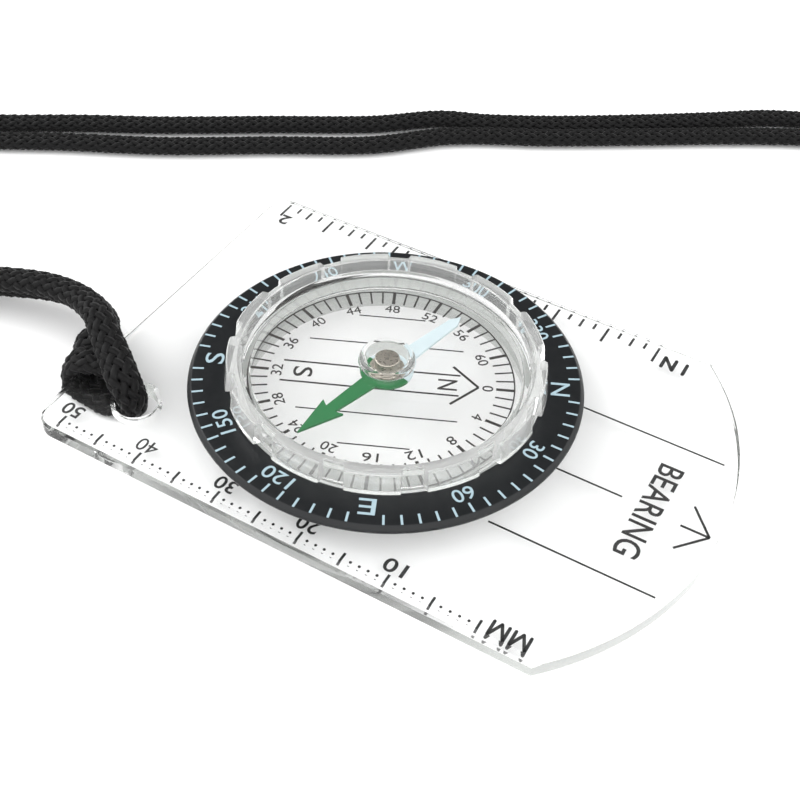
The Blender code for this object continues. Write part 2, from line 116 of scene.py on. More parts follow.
# Grip bezel and capsule
GRIP_BLOCKS = 13
GRIP_FIRST_BLOCK = radians(-64.5)
GRIP_BLOCK_ANGLE = radians(18.6)
GRIP_FLANK_ANGLE = radians(0.9)
GRIP_FOOT_RADIUS = 17.4
GRIP_HEAD_RADIUS = 17.05
GRIP_NOTCH_RADIUS = 16.4
GRIP_SKIRT_RADIUS = 16.55
GRIP_BORE_RADIUS = 15.75
GRIP_LEDGE_RADIUS = 14.9
GRIP_LEDGE_HEIGHT = 0.9
GRIP_SEAT_GAP = 0.3                 # between the azimuth ring and the grip
CHAMBER_RADIUS = 14.65
WINDOW_TOP = 7.35
WINDOW_THICKNESS = 1.2
BOSS_RADIUS = 3.0
BOSS_POCKET_RADIUS = 2.4
BOSS_POCKET_TOP = 7.9
RETAINER_INNER_RADIUS = 15.0

# Needle and its cap
NEEDLE_BEARING = radians(-103.7)
CAP_BRIM_THICKNESS = 0.35
CAP_CROWN_RADIUS = 1.35
CAP_BORE_RADIUS = 1.0
CAP_BORE_TOP = 7.25

# Lanyard
CORD_LENGTH_A = 0.443               # metres
CORD_LENGTH_B = 0.375
BRAID_CARRIERS = 8                  # yarns in each direction
BRAID_LEAD = 13.0                   # length of one turn of a yarn
BRAID_STEP = 0.37
YARN_SIDES = 5
HALF_YARN = 0.2                     # half a yarn's thickness, where the braid isn't squeezed
YARN_LIFT = 0.11                    # how far a yarn rises over the one it crosses
FULL_HEIGHT = 1.05                  # half height under which the yarns are squeezed thinner
COIL_CENTRE = (46.5, 87.0)
COIL_RADIUS_A = 19.5
COIL_RADIUS_B = 16.3
COIL_LOWER = 1.15                   # height of the cord lying on the table, and of the coil's lower layer
COIL_UPPER = 3.35                   # height of its upper layer
KNOT_CENTRE = (56.3, 87.0, 2.6)
KNOT_RADII = (4.6, 2.9, 2.5)
KNOT_INSETS = (1.3, 1.0, 1.1)       # from those radii to the middle of the cord
KNOT_POINTS = 25


# ---------------------------------------------------------------- helpers

def add(name, mesh, material, body, node=None):
    """A piece that rides on a body, and may stand for a CAD node."""
    item = bpy.data.objects.new(name, mesh)
    bpy.context.scene.collection.objects.link(item)
    mesh.materials.clear()
    mesh.materials.append(material)
    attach(item, body)
    if node:
        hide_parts(*([node] if isinstance(node, str) else node))
    return item


def smooth_shading(mesh, angle=24.0):
    mesh.shade_smooth()
    mesh.set_sharp_from_angle(angle=radians(angle))


def finish_mesh(work, name, angle=24.0):
    """A bmesh in mm becomes a mesh in metres, its faces outwards."""
    bmesh.ops.recalc_face_normals(work, faces=work.faces)
    bmesh.ops.scale(work, vec=(MM, MM, MM), verts=work.verts)
    mesh = bpy.data.meshes.new(name)
    work.to_mesh(mesh)
    work.free()
    smooth_shading(mesh, angle)
    return mesh


def rounded(profile, radius, steps=3):
    """Replace each corner of a closed (radius, height) profile that lies off the axis with a small arc."""
    result = []
    count = len(profile)
    for i, point in enumerate(profile):
        here = Vector(point)
        before = Vector(profile[i - 1]) - here
        after = Vector(profile[(i + 1) % count]) - here
        reach = min(radius, before.length * 0.45, after.length * 0.45)
        if here.x < 1e-6 or reach < 0.02:
            result.append(tuple(here))
            continue
        start = here + before.normalized() * reach
        end = here + after.normalized() * reach
        for k in range(steps + 1):
            t = k / steps
            result.append(tuple(start * (1 - t) ** 2 + here * 2 * t * (1 - t) + end * t * t))
    return result


def turned(name, profile, steps=192, radius=0.12, angle=24.0, centre=AXIS):
    """Turn a closed (radius, height) profile about the vertical line through centre."""
    profile = rounded(profile, radius)
    work = bmesh.new()
    rings = []
    for r, z in profile:
        if r < 1e-6:
            rings.append([work.verts.new((centre.x, centre.y, z))] * steps)
            continue
        rings.append([work.verts.new((centre.x + r * cos(FULL_TURN * k / steps),
                                      centre.y + r * sin(FULL_TURN * k / steps), z)) for k in range(steps)])
    for i, ring in enumerate(rings):
        other = rings[(i + 1) % len(rings)]
        for k in range(steps):
            loop = [ring[k], ring[(k + 1) % steps], other[(k + 1) % steps], other[k]]
            loop = [v for j, v in enumerate(loop) if v not in loop[:j]]
            if len(loop) > 2:
                work.faces.new(loop)
    return finish_mesh(work, name, angle)


def arc(centre, radius, start, end, steps):
    return [(centre[0] + radius * cos(start + (end - start) * i / steps),
             centre[1] + radius * sin(start + (end - start) * i / steps)) for i in range(steps + 1)]


def catmull(points, spacing):
    """Evenly spaced points along a smooth curve through the given ones, however many values each has."""
    knots = np.array(points, float)
    knots = np.vstack([2 * knots[0] - knots[1], knots, 2 * knots[-1] - knots[-2]])
    dense = []
    share = np.linspace(0, 1, 25)[:-1][:, None]
    for p0, p1, p2, p3 in zip(knots, knots[1:], knots[2:], knots[3:]):
        t1 = np.linalg.norm((p1 - p0)[:3]) ** 0.5
        t2 = t1 + np.linalg.norm((p2 - p1)[:3]) ** 0.5
        t3 = t2 + np.linalg.norm((p3 - p2)[:3]) ** 0.5
        t = t1 + (t2 - t1) * share
        a1 = p0 * (t1 - t) / t1 + p1 * t / t1
        a2 = p1 * (t2 - t) / (t2 - t1) + p2 * (t - t1) / (t2 - t1)
        a3 = p2 * (t3 - t) / (t3 - t2) + p3 * (t - t2) / (t3 - t2)
        b1 = a1 * (t2 - t) / t2 + a2 * t / t2
        b2 = a2 * (t3 - t) / (t3 - t1) + a3 * (t - t1) / (t3 - t1)
        dense.append(b1 * (t2 - t) / (t2 - t1) + b2 * (t - t1) / (t2 - t1))
    dense = np.vstack(dense + [knots[-2:-1]])
    steps = np.linalg.norm(np.diff(dense[:, :3], axis=0), axis=1)
    along = np.concatenate([[0.0], np.cumsum(steps)])
    wanted = np.linspace(0, along[-1], max(3, ceil(along[-1] / spacing) + 1))
    return np.stack([np.interp(wanted, along, dense[:, k]) for k in range(dense.shape[1])], 1)


# ---------------------------------------------------------------- camera

def make_camera():
    right, forward = Vector(CAMERA_RIGHT), Vector(CAMERA_FORWARD)
    up = right.cross(forward)
    data = bpy.data.cameras.new("camera")
    data.lens = CAMERA_LENS
    data.sensor_width = 36.0
    data.clip_start = 0.01
    camera = bpy.data.objects.new("camera", data)
    turn = Matrix((right, up, -forward)).transposed().to_4x4()
    camera.matrix_world = Matrix.Translation(Vector(CAMERA_PLACE) * MM) @ turn
    bpy.context.scene.collection.objects.link(camera)
    bpy.context.scene.camera = camera


make_camera()


# ---------------------------------------------------------------- materials

class Nodes:
    """Short calls for a material's node tree."""

    def __init__(self, name):
        self.material = bpy.data.materials.new(name)
        self.material.use_nodes = True
        self.tree = self.material.node_tree
        self.shader = self.tree.nodes["Principled BSDF"]
        self.output = self.tree.nodes["Material Output"]

    def new(self, kind, **values):
        node = self.tree.nodes.new(kind)
        for key, value in values.items():
            if key in node.inputs:
                node.inputs[key].default_value = value
            else:
                setattr(node, key, value)
        return node

    def link(self, source, target):
        self.tree.links.new(source, target)

    def put(self, **values):
        for key, value in values.items():
            self.shader.inputs[key.replace("_", " ")].default_value = value

    def noise(self, scale, detail=3.0, roughness=0.5):
        where = self.new("ShaderNodeTexCoord")
        node = self.new("ShaderNodeTexNoise", Scale=scale, Detail=detail, Roughness=roughness)
        self.link(where.outputs["Object"], node.inputs["Vector"])
        return node.outputs["Fac"]

    def spread(self, value, low, high, start=0.3, end=0.7):
        node = self.new("ShaderNodeMapRange")
        node.inputs["From Min"].default_value = start
        node.inputs["From Max"].default_value = end
        node.inputs["To Min"].default_value = low
        node.inputs["To Max"].default_value = high
        self.link(value, node.inputs["Value"])
        return node.outputs["Result"]

    def blend(self, value, first, second):
        node = self.new("ShaderNodeMix", data_type="RGBA")
        node.inputs[6].default_value = (*first, 1.0)
        node.inputs[7].default_value = (*second, 1.0)
        self.link(value, node.inputs[0])
        return node.outputs[2]

    def bump(self, height, strength, distance):
        node = self.new("ShaderNodeBump", Strength=strength, Distance=distance)
        self.link(height, node.inputs["Height"])
        self.link(node.outputs["Normal"], self.shader.inputs["Normal"])


LONG_PATH = 4.5                     # bounces


def clear_plastic(name, tint, grain, clear_share=1.0, shadow=0.99):
    """Clear polystyrene or acrylic, which lets light through to what is under it.

    Light that has bounced about inside for long comes out white, because all of the studio is white.
    """
    n = Nodes(name)
    n.put(Base_Color=(*tint, 1.0), IOR=1.49, Transmission_Weight=clear_share)
    n.link(n.spread(n.noise(900.0), 0.0, grain), n.shader.inputs["Roughness"])
    n.bump(n.noise(260.0, 2.0), 0.03, 0.0002)
    path = n.new("ShaderNodeLightPath")
    clear = n.new("ShaderNodeBsdfTransparent", Color=(shadow, shadow, shadow, 1.0))
    # Painted light: past LONG_PATH bounces the clear plastic turns into a grey diffuse surface, standing in
    # for light that would keep bouncing about inside it
    bounced_light_stand_in = n.new("ShaderNodeBsdfDiffuse", Color=(0.46, 0.475, 0.46, 1.0))
    long_path = n.new("ShaderNodeMath", operation="GREATER_THAN")
    long_path.inputs[1].default_value = LONG_PATH
    n.link(path.outputs["Ray Depth"], long_path.inputs[0])
    last = n.shader.outputs[0]
    for fac, other in ((long_path.outputs[0], bounced_light_stand_in), (path.outputs["Is Diffuse Ray"], clear),
                       (path.outputs["Is Shadow Ray"], clear)):
        mix = n.new("ShaderNodeMixShader")
        n.link(fac, mix.inputs[0])
        n.link(last, mix.inputs[1])
        n.link(other.outputs[0], mix.inputs[2])
        last = mix.outputs[0]
    n.link(last, n.output.inputs["Surface"])
    return n.material


def black_plastic():
    n = Nodes("ring_plastic")
    n.put(IOR=1.5, Specular_IOR_Level=0.3)
    n.link(n.blend(n.noise(700.0), (0.005, 0.006, 0.007), (0.010, 0.011, 0.012)),
           n.shader.inputs["Base Color"])
    n.link(n.spread(n.noise(1800.0, 4.0), 0.28, 0.42), n.shader.inputs["Roughness"])
    n.bump(n.noise(5200.0, 2.0), 0.12, 0.00004)
    return n.material


def ink(name, first, second, roughness=0.5):
    n = Nodes(name)
    n.link(n.blend(n.noise(2500.0, 4.0), first, second), n.shader.inputs["Base Color"])
    n.link(n.spread(n.noise(4000.0), roughness - 0.1, roughness + 0.1), n.shader.inputs["Roughness"])
    n.bump(n.noise(6000.0), 0.15, 0.00001)
    return n.material


def needle_paint():
    """Green from the middle to the arrow, white beyond the middle."""
    n = Nodes("needle_paint")
    where = n.new("ShaderNodeTexCoord")
    shift = n.new("ShaderNodeVectorMath", operation="SUBTRACT")
    shift.inputs[1].default_value = AXIS * MM
    along = n.new("ShaderNodeVectorMath", operation="DOT_PRODUCT")
    along.inputs[1].default_value = (cos(NEEDLE_BEARING), sin(NEEDLE_BEARING), 0.0)
    half = n.new("ShaderNodeMath", operation="GREATER_THAN")
    half.inputs[1].default_value = -0.25 * MM
    n.link(where.outputs["Object"], shift.inputs[0])
    n.link(shift.outputs[0], along.inputs[0])
    n.link(along.outputs["Value"], half.inputs[0])
    green = n.blend(n.noise(1500.0), (0.008, 0.128, 0.034), (0.011, 0.150, 0.042))
    white = n.blend(n.noise(1500.0), (0.50, 0.60, 0.63), (0.58, 0.67, 0.70))
    mix = n.new("ShaderNodeMix", data_type="RGBA")
    n.link(half.outputs[0], mix.inputs[0])
    n.link(white, mix.inputs[6])
    n.link(green, mix.inputs[7])
    n.link(mix.outputs[2], n.shader.inputs["Base Color"])
    n.link(n.spread(n.noise(2600.0), 0.38, 0.55), n.shader.inputs["Roughness"])
    n.bump(n.noise(3500.0), 0.1, 0.00002)
    return n.material


def metal(name, first, second, low, high, grain):
    n = Nodes(name)
    n.put(Metallic=1.0)
    n.link(n.blend(n.noise(grain), first, second), n.shader.inputs["Base Color"])
    n.link(n.spread(n.noise(grain * 2), low, high), n.shader.inputs["Roughness"])
    n.bump(n.noise(grain * 3, 4.0), 0.2, 0.00002)
    return n.material


def jewel_stone():
    n = Nodes("jewel_stone")
    n.put(IOR=1.76, Coat_Weight=0.3)
    n.link(n.blend(n.noise(900.0), (0.42, 0.03, 0.08), (0.55, 0.06, 0.12)), n.shader.inputs["Base Color"])
    n.link(n.spread(n.noise(1200.0), 0.05, 0.15), n.shader.inputs["Roughness"])
    return n.material


def braid_yarn():
    """Black polyester yarn: fine filaments, a little sheen."""
    n = Nodes("braid_yarn")
    n.put(Sheen_Weight=0.06, Sheen_Roughness=0.4, Specular_IOR_Level=0.14)
    n.link(n.blend(n.noise(2200.0, 5.0), (0.0015, 0.0015, 0.0017), (0.006, 0.0058, 0.006)),
           n.shader.inputs["Base Color"])
    n.link(n.spread(n.noise(1600.0), 0.45, 0.7), n.shader.inputs["Roughness"])
    n.bump(n.noise(9000.0, 3.0), 0.5, 0.00006)
    return n.material


plate_plastic = clear_plastic("plate_plastic", (0.985, 0.992, 0.988), 0.02)
capsule_plastic = clear_plastic("capsule_plastic", (0.99, 0.993, 0.99), 0.015)
grip_plastic = clear_plastic("grip_plastic", (0.95, 0.96, 0.95), 0.04, 0.87)
ring_plastic = black_plastic()
plate_ink = ink("plate_ink", (0.004, 0.004, 0.004), (0.012, 0.011, 0.011))
dial_ink = ink("dial_ink", (0.008, 0.006, 0.005), (0.020, 0.016, 0.014))
ring_ink = ink("ring_ink", (0.27, 0.38, 0.43), (0.36, 0.47, 0.52))
needle_coat = needle_paint()
cap_metal = metal("cap_metal", (0.50, 0.46, 0.40), (0.62, 0.57, 0.50), 0.22, 0.40, 1500.0)
pin_metal = metal("pin_metal", (0.55, 0.55, 0.56), (0.66, 0.66, 0.67), 0.15, 0.28, 1200.0)
jewel_red = jewel_stone()
yarn = braid_yarn()


# ---------------------------------------------------------------- lanyard

def braid(name, route):
    """Hollow braid along a route of (x, y, z, half width, half height, cover) points."""
    line = catmull(route, BRAID_STEP)
    place, width, height, cover = line[:, :3], line[:, 3], line[:, 4], line[:, 5]
    count = len(line)
    ahead = np.gradient(place, axis=0)
    ahead /= np.linalg.norm(ahead, axis=1)[:, None]
    # The flat of the braid stays level, and twists over only where it runs up or down.
    level = np.cross(ahead, (0.0, 0.0, 1.0))
    side = level[-1]
    sides = np.empty_like(place)
    for i in range(count - 1, -1, -1):
        size = np.linalg.norm(level[i])
        if size > 0.5:
            side = side * 0.8 + level[i] / size * (0.2 if side.dot(level[i]) > 0 else -0.2)
        side = side - ahead[i] * side.dot(ahead[i])
        side /= np.linalg.norm(side)
        sides[i] = side
    over = np.cross(sides, ahead)
    thick = np.minimum(1.0, height / FULL_HEIGHT)
    half_yarn = HALF_YARN * thick
    lift = YARN_LIFT * thick
    wide = width - half_yarn - lift
    tall = height - half_yarn - lift
    turn = FULL_TURN * BRAID_STEP * np.arange(count) / BRAID_LEAD
    wave = np.cos(BRAID_CARRIERS * turn)
    around = FULL_TURN * np.sqrt((wide ** 2 + tall ** 2) / 2)
    lean = np.arctan(around / BRAID_LEAD)
    half_width = cover * around * np.cos(lean) / BRAID_CARRIERS / 2
    section = [(cos(FULL_TURN * k / YARN_SIDES + pi / 2), sin(FULL_TURN * k / YARN_SIDES + pi / 2))
               for k in range(YARN_SIDES)]
    verts, faces = [], []
    for hand in (1, -1):
        for carrier in range(BRAID_CARRIERS):
            angle = hand * turn + FULL_TURN * carrier / BRAID_CARRIERS
            out = sides * (np.cos(angle) / wide)[:, None] + over * (np.sin(angle) / tall)[:, None]
            out /= np.linalg.norm(out, axis=1)[:, None]
            middle = (place + sides * (wide * np.cos(angle))[:, None] + over * (tall * np.sin(angle))[:, None]
                      + out * (hand * lift * wave)[:, None])
            run = np.gradient(middle, axis=0)
            run /= np.linalg.norm(run, axis=1)[:, None]
            across = np.cross(run, out)
            base = sum(len(v) for v in verts)
            ring = np.stack([middle + across * (half_width * u)[:, None] + out * (half_yarn * v)[:, None]
                             for u, v in section], 1)
            verts.append(ring.reshape(-1, 3))
            index = base + np.arange(count * YARN_SIDES).reshape(count, YARN_SIDES)
            after = np.roll(index, -1, axis=1)
            quads = np.stack([index[:-1], after[:-1], after[1:], index[1:]], 2).reshape(-1, 4)
            faces += quads.tolist()
            faces.append(index[0, ::-1].tolist())
            faces.append(index[-1].tolist())
    mesh = bpy.data.meshes.new(name)
    mesh.from_pydata((np.vstack(verts) * MM).tolist(), [], faces)
    work = bmesh.new()
    work.from_mesh(mesh)
    bmesh.ops.recalc_face_normals(work, faces=work.faces)
    work.to_mesh(mesh)
    work.free()
    mesh.shade_smooth()
    return mesh, place * MM


def spiral(radius, start, sweep, low, high, climb_from, climb_to, steps=14):
    """Turns of the coil, clockwise from the start angle, rising from one layer to the next."""
    points = []
    count = ceil(abs(sweep) / FULL_TURN * steps)
    for i in range(count + 1):
        done = sweep * i / count
        angle = start - done
        rise = min(1.0, max(0.0, (done - climb_from) / (climb_to - climb_from)))
        rise = rise * rise * (3 - 2 * rise)
        points.append((COIL_CENTRE[0] + radius * cos(angle), COIL_CENTRE[1] + radius * sin(angle),
                       low + (high - low) * rise))
    return points


# x, y, z, half width, half height, cover. Points in view come from the photo: places in it were carried
# to their height by the fitted camera, and some of them were then moved.
STRAND_A = [
    (-30.6, -16.2, 0.66, 2.0, 0.5, 1.0), (-28.4, -16.1, 0.66, 1.8, 0.5, 1.0),
    (-27.0, -16.2, 1.1, 1.6, 0.7, 1.0), (-26.6, -15.9, 2.2, 1.6, 1.1, 1.0),
    (-27.0, -15.7, 3.6, 1.8, 1.3, 1.0), (-28.3, -15.2, 4.9, 1.95, 1.35, 1.0),
    (-30.0, -14.0, 5.4, 1.95, 1.4, 1.0), (-31.9, -12.7, 5.9, 1.9, 1.35, 1.0),
    (-33.7, -11.5, 6.6, 1.8, 1.3, 1.0), (-35.2, -10.4, 6.95, 1.75, 1.3, 1.0),
    (-37.4, -9.2, 6.6, 1.75, 1.3, 1.0), (-40.2, -8.3, 6.2, 1.75, 1.3, 1.0),
    (-44.6, -8.3, 5.8, 1.75, 1.3, 1.0), (-50.8, -9.9, 5.1, 1.75, 1.3, 1.0),
    (-58.0, -12.6, 4.0, 1.7, 1.25, 0.98), (-66.0, -14.6, 2.7, 1.7, 1.2, 0.95)]
STRAND_A += [(-75.0, -14.3, 1.6, 1.68, 1.02, 0.80)]
STRAND_A += [(x, y, COIL_LOWER, 1.68, 1.02, 0.80) for x, y in (
    (-84.5, -10.6), (-91.2, -3.0), (-92.6, 6.0), (-87.6, 13.0), (-77.9, 18.6), (-68.6, 24.6),
    (-59.0, 30.3), (-46.2, 38.8), (-34.0, 46.8), (-26.6, 53.2), (-20.6, 56.0), (-12.8, 60.6),
    (-3.6, 66.9), (6.7, 74.4), (13.0, 79.2), (17.6, 81.7), (22.6, 83.9), (26.0, 87.4))]
STRAND_A += [(x, y, z, 1.6, 1.05, 0.9) for x, y, z in spiral(
    COIL_RADIUS_A, radians(163), FULL_TURN * 1.5, COIL_LOWER, COIL_UPPER, radians(290), radians(345))]
STRAND_A += [(x, y, z, 1.5, 1.05, 0.9) for x, y, z in (
    (60.5, 76.0, 3.3), (57.0, 79.3, 3.2), (55.2, 82.8, 2.9), (55.6, 85.4, 2.7), (56.6, 87.0, 2.6))]
STRAND_B = [
    (-29.0, -14.8, 0.66, 2.2, 0.5, 1.0), (-32.8, -14.2, 0.66, 2.2, 0.5, 1.0),
    (-35.2, -13.5, 1.3, 2.1, 0.75, 1.0), (-36.1, -13.1, 2.7, 2.1, 1.0, 1.0),
    (-35.5, -12.6, 4.3, 2.0, 1.2, 1.0), (-34.9, -11.5, 4.9, 1.9, 1.2, 1.0),
    (-35.2, -10.0, 4.7, 1.8, 1.1, 1.0), (-36.4, -8.5, 4.4, 1.7, 1.05, 1.0),
    (-38.3, -7.4, 4.1, 1.7, 1.05, 1.0), (-41.2, -6.4, 3.8, 1.7, 1.05, 1.0),
    (-45.5, -6.5, 3.3, 1.7, 1.05, 1.0), (-51.7, -8.2, 2.5, 1.7, 1.05, 1.0),
    (-58.4, -10.4, 1.55, 1.7, 1.05, 0.95)]
STRAND_B += [(x, y, COIL_LOWER, 1.68, 1.02, 0.80) for x, y in (
    (-66.2, -11.3), (-74.4, -10.6), (-82.2, -7.2), (-87.2, -1.4), (-87.9, 4.9), (-84.3, 9.9),
    (-74.9, 15.4), (-67.9, 19.6), (-55.5, 26.4), (-43.3, 34.5), (-31.4, 42.3), (-24.2, 49.4),
    (-19.6, 52.6), (-12.3, 56.8), (-2.2, 63.5), (8.1, 70.5), (14.5, 74.6), (19.2, 77.3),
    (25.0, 79.9), (29.0, 83.6))]
STRAND_B += [(x, y, z, 1.55, 1.05, 0.9) for x, y, z in spiral(
    COIL_RADIUS_B, radians(175), FULL_TURN * 1.3, COIL_LOWER, COIL_UPPER, radians(290), radians(345))]
STRAND_B += [(x, y, z, 1.5, 1.05, 0.9) for x, y, z in (
    (58.2, 97.6, 3.3), (58.6, 94.0, 3.2), (57.6, 91.0, 2.9), (56.8, 88.8, 2.7), (55.8, 87.2, 2.6))]
# The hitch's second leg, beside the first: from the hole under the plate, round its edge and under strand A
HITCH = [
    (-28.8, -16.4, 0.66, 1.7, 0.5, 1.0), (-31.6, -16.1, 0.66, 1.9, 0.5, 1.0),
    (-34.2, -15.9, 0.8, 2.0, 0.55, 1.0), (-35.5, -15.7, 1.7, 2.1, 0.8, 1.0),
    (-35.7, -15.4, 3.0, 2.1, 1.0, 1.0), (-34.7, -14.9, 4.35, 2.1, 1.05, 1.0),
    (-33.0, -14.3, 4.75, 2.1, 1.05, 1.0), (-31.2, -13.8, 4.6, 2.0, 1.0, 1.0),
    (-29.8, -13.7, 4.3, 1.6, 0.8, 1.0)]


def make_knot():
    """Overhand knot that ties the two ends together."""
    reach = [radius - inset for radius, inset in zip(KNOT_RADII, KNOT_INSETS)]
    points = []
    for k in range(KNOT_POINTS):
        t = FULL_TURN * k / KNOT_POINTS
        points.append((KNOT_CENTRE[0] + reach[0] * (sin(t) + 2 * sin(2 * t)) / 3,
                       KNOT_CENTRE[1] + reach[1] * (cos(t) - 2 * cos(2 * t)) / 3,
                       KNOT_CENTRE[2] - reach[2] * sin(3 * t), 1.1, 0.95, 1.0))
    mesh = braid("lanyard_end_knot_braid", points)[0]
    return add("lanyard_end_knot_braid", mesh, yarn, "plate", "lanyard_end_knot")


end_knot = make_knot()
hitch = add("lanyard_hitch_braid", braid("lanyard_hitch_braid", HITCH)[0], yarn, "plate", "lanyard_hitch")
for label, route, length, nodes, pieces in (
        ("lanyard_a_braid", STRAND_A, CORD_LENGTH_A, ["lanyard_strand_a"], [end_knot, hitch]),
        ("lanyard_b_braid", STRAND_B, CORD_LENGTH_B, ["lanyard_strand_b", "lanyard_coil"], [])):
    braid_mesh, braid_path = braid(label, route)
    strand = add(label, braid_mesh, yarn, "plate", nodes)


# ---------------------------------------------------------------- baseplate

def plate_outline(inset):
    """Heel corners rounded, nose a wide arc that meets the long edges in corners."""
    half_width = PLATE_HIGH.y - inset
    nose_radius = NOSE_RADIUS - inset
    nose_centre = (PLATE_HIGH.x - NOSE_RADIUS, 0.0)
    nose_angle = asin(half_width / nose_radius)
    corner = HEEL_CORNER_RADIUS - inset
    heel = PLATE_LOW.x + HEEL_CORNER_RADIUS
    side = PLATE_HIGH.y - HEEL_CORNER_RADIUS
    points = arc(nose_centre, nose_radius, -nose_angle, nose_angle, 96)
    points += arc((heel, side), corner, pi / 2, pi, 16)
    points += arc((heel, -side), corner, pi, 3 * pi / 2, 16)
    return points


def make_plate():
    """Walls from loops at several heights, and a top and a bottom face with two holes."""
    work = bmesh.new()
    low, high = PLATE_LOW.z, PLATE_HIGH.z
    edge_y = PLATE_HIGH.y - RULER_CHAMFER_WIDTH

    def ring(points):
        return [work.verts.new(p) for p in points]

    def wall(loops):
        for first, second in zip(loops, loops[1:]):
            for k in range(len(first)):
                m = (k + 1) % len(first)
                work.faces.new([first[k], first[m], second[m], second[k]])

    def drop(y):
        return RULER_CHAMFER_DROP * max(0.0, abs(y) - edge_y) / RULER_CHAMFER_WIDTH

    inner, outer = plate_outline(EDGE), plate_outline(0.0)
    outline = [ring([(x, y, low) for x, y in inner]), ring([(x, y, low + EDGE) for x, y in outer]),
               ring([(x, y, high - EDGE - drop(y)) for x, y in outer]),
               ring([(x, y, high - drop(y)) for x, y in inner]),
               ring([(x, max(-edge_y, min(edge_y, y)) * 0.9999, high) for x, y in inner])]
    wall(outline)

    def hole(centre, radius, flare, steps):
        circle = [(cos(FULL_TURN * k / steps), sin(FULL_TURN * k / steps)) for k in range(steps)]
        loops = []
        for z, r in ((high, radius + flare), (high - flare, radius),
                     (low + flare, radius), (low, radius + flare)):
            loops.append(ring([(centre[0] + r * c, centre[1] + r * s, z) for c, s in circle]))
        wall(loops)
        return loops

    holes = [hole((AXIS.x, 0.0), CAPSULE_HOLE_RADIUS, EDGE, 192),
             hole(LANYARD_HOLE, LANYARD_HOLE_RADIUS, LANYARD_HOLE_CHAMFER, 64)]

    def cap(loops):
        edges = []
        for loop in loops:
            for k in range(len(loop)):
                pair = [loop[k], loop[(k + 1) % len(loop)]]
                edges.append(work.edges.get(pair) or work.edges.new(pair))
        bmesh.ops.triangle_fill(work, use_beauty=True, use_dissolve=False, edges=edges)

    bmesh.ops.remove_doubles(work, verts=outline[3] + outline[4], dist=1e-4)
    top = [v for v in outline[4] if v.is_valid]
    cap([top, holes[0][0], holes[1][0]])
    cap([outline[0], holes[0][-1], holes[1][-1]])
    return add("plate_clear", finish_mesh(work, "plate_clear", 20.0), plate_plastic, "plate", "baseplate")


make_plate()


# ---------------------------------------------------------------- print

class Print:
    """Flat ink shapes of one piece, gathered in one mesh."""

    def __init__(self, low):
        self.work = bmesh.new()
        self.low = low

    def polygon(self, points):
        low = [self.work.verts.new((x, y, self.low)) for x, y in points]
        high = [self.work.verts.new((x, y, self.low + INK)) for x, y in points]
        self.work.faces.new(low)
        self.work.faces.new(high)
        for k in range(len(points)):
            m = (k + 1) % len(points)
            self.work.faces.new([low[k], low[m], high[m], high[k]])

    def stroke(self, start, end, width):
        a, b = Vector(start), Vector(end)
        out = (b - a).normalized().orthogonal() * width / 2
        self.polygon([a + out, a - out, b - out, b + out])

    def dot(self, centre, radius, sides=12):
        self.polygon(arc(centre, radius, 0.0, FULL_TURN * (sides - 1) / sides, sides - 1))

    def circle(self, centre, radius, width, steps=180):
        for k in range(steps):
            a, b = FULL_TURN * k / steps, FULL_TURN * (k + 1) / steps
            inner, outer = radius - width / 2, radius + width / 2
            self.polygon([(r * cos(t) + centre[0], r * sin(t) + centre[1])
                          for r, t in ((inner, a), (outer, a), (outer, b), (inner, b))])

    def letter(self, lines, centre, turn, width):
        """A drawn letter: lines of points from its middle, x to its right side."""
        place = Matrix.Rotation(turn, 2)
        for line in lines:
            points = [Vector(centre) + place @ Vector(p) for p in line]
            for a, b in zip(points, points[1:]):
                self.stroke(a, b, width)
            for p in points:
                self.dot(p, width / 2)

    def text(self, body, centre, height, turn, width, weight=0.0):
        """Letters of the given size, the middle of their outline at centre, their right side towards turn."""
        curve = bpy.data.curves.new("letters", "FONT")
        curve.body = body
        curve.extrude = 0.5
        curve.offset = 0.0 if "4" in body else weight      # an offset fills the small corner of a 4
        curve.resolution_u = 4
        item = bpy.data.objects.new("letters", curve)
        bpy.context.scene.collection.objects.link(item)
        bpy.context.view_layer.update()
        mesh = bpy.data.meshes.new_from_object(item.evaluated_get(bpy.context.evaluated_depsgraph_get()))
        spots = np.array([v.co for v in mesh.vertices])
        low, high = spots.min(0), spots.max(0)
        scale = height / (high[1] - low[1])
        mesh.transform(Matrix.Translation((*centre, self.low + INK / 2)) @ Matrix.Rotation(turn, 4, "Z")
                       @ Matrix.Diagonal((width / (high[0] - low[0]), scale, INK, 1.0))
                       @ Matrix.Translation((-(low[0] + high[0]) / 2, -(low[1] + high[1]) / 2, 0.0)))
        self.work.from_mesh(mesh)
        bpy.data.objects.remove(item, do_unlink=True)
        bpy.data.curves.remove(curve)
        bpy.data.meshes.remove(mesh)

    def piece(self, name, material, body):
        bmesh.ops.remove_doubles(self.work, verts=self.work.verts, dist=1e-5)
        return add(name, finish_mesh(self.work, name, 20.0), material, body)


def polar(radius, angle, centre=AXIS):
    return (centre.x + radius * cos(angle), centre.y + radius * sin(angle))


UNDER_PLATE = PLATE_LOW.z - INK - INK_GAP


def print_millimetres():
    scale = Print(UNDER_PLATE)
    for mark in range(51):
        x = SCALE_ZERO_MM - mark
        if mark % 5 == 0:
            scale.stroke((x, MILLIMETRE_MARKS[0]), (x, MILLIMETRE_MARKS[1]), SCALE_TICK)
        else:
            scale.dot((x, MILLIMETRE_DOTS), 0.16)
        if mark % 10 == 0 and mark:
            scale.text(str(mark), (x, MILLIMETRE_NUMBERS), 1.7, TURNED_ROUND, 2.4, 0.014)
    low, high = -LETTER_HALF, LETTER_HALF
    for x in (20.0, 22.25):
        scale.letter([[(-0.8, low), (-0.8, high), (0.0, low), (0.8, high), (0.8, low)]], (x, -21.05),
                     TURNED_ROUND, 0.34)
    return scale.piece("scale_millimetres", plate_ink, "plate")


